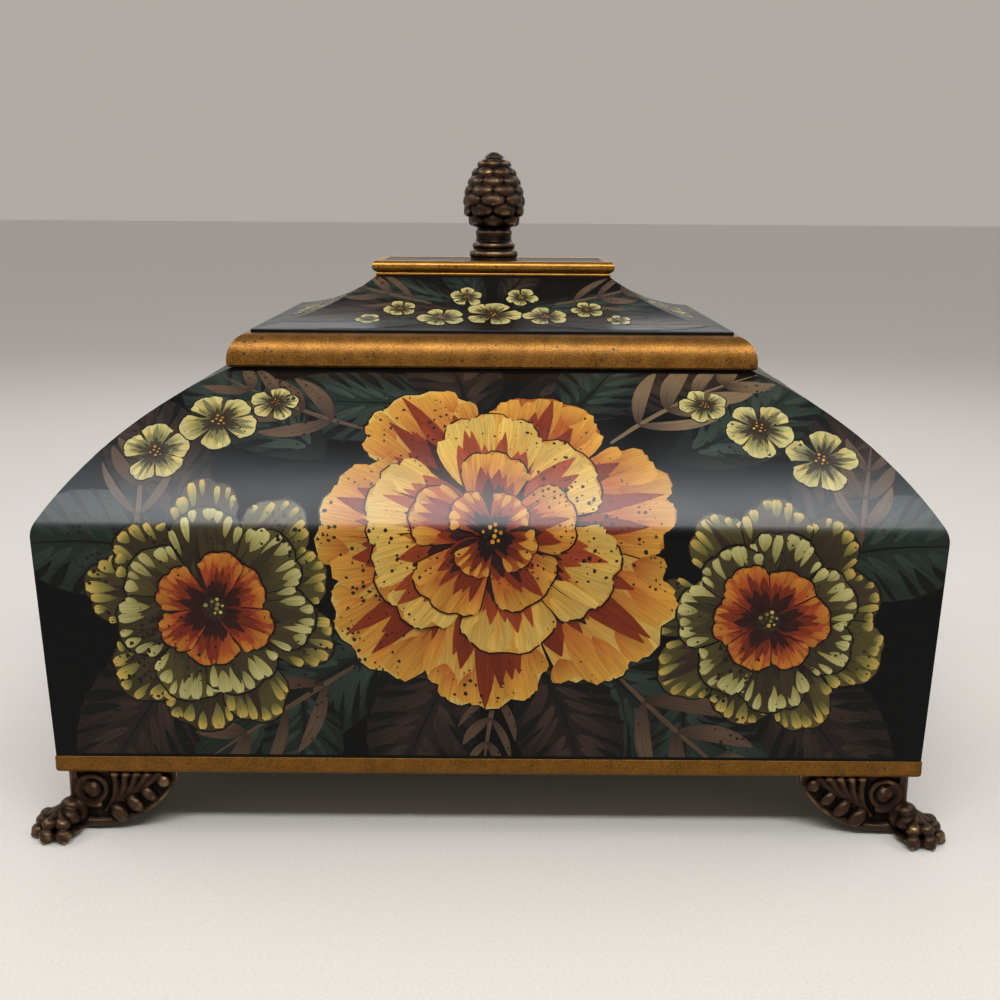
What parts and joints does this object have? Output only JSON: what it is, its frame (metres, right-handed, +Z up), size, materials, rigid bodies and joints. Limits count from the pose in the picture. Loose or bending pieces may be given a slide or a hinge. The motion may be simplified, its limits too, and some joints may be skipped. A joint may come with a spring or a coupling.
{
  "type": "lidded casket",
  "caption": "Painted tinplate casket with curved shoulders, a lift-off cove lid with gilt mouldings, cast paw feet and a pine cone finial.",
  "frame": {"origin": "on the floor, under the middle of the case", "axes": "+Z up, the front faces -Y, +X is to the right seen from the front"},
  "size_m": [0.4094, 0.3434, 0.3036],
  "materials": {
    "painted_tin": "satin black japanning with a painted flower spray",
    "gilt_wood": "antique gold paint, speckled",
    "antique_bronze": "dark cast bronze, rubbed on the high spots",
    "bare_tin": "dull tinned sheet",
    "steel_fixings": "plain"
  },
  "bodies": {
    "case": {"front_panel": "painted_tin", "back_panel": "painted_tin", "left_panel": "painted_tin", "right_panel": "painted_tin", "front_band": "gilt_wood", "back_band": "gilt_wood", "left_band": "gilt_wood", "right_band": "gilt_wood", "floor_plate": "bare_tin", "mouth_collar": "bare_tin", "front_left_foot": "antique_bronze", "front_right_foot": "antique_bronze", "back_left_foot": "antique_bronze", "back_right_foot": "antique_bronze", "foot_screws": "steel_fixings", "foot_washers": "steel_fixings"},
    "lid": {"front_cove": "painted_tin", "back_cove": "painted_tin", "left_cove": "painted_tin", "right_cove": "painted_tin", "front_moulding": "gilt_wood", "back_moulding": "gilt_wood", "left_moulding": "gilt_wood", "right_moulding": "gilt_wood", "lid_skirt": "bare_tin", "front_top_bead": "gilt_wood", "back_top_bead": "gilt_wood", "left_top_bead": "gilt_wood", "right_top_bead": "gilt_wood", "top_plate": "painted_tin", "finial": "antique_bronze", "finial_collar": "antique_bronze", "finial_stud": "steel_fixings", "finial_washer": "steel_fixings", "finial_nut": "steel_fixings"}
  },
  "joints": [
    {"name": "lid_lift", "type": "slide", "parent": "case", "child": "lid", "axis": [0, 0, 1], "range_m": [0, 0.12]}
  ]
}
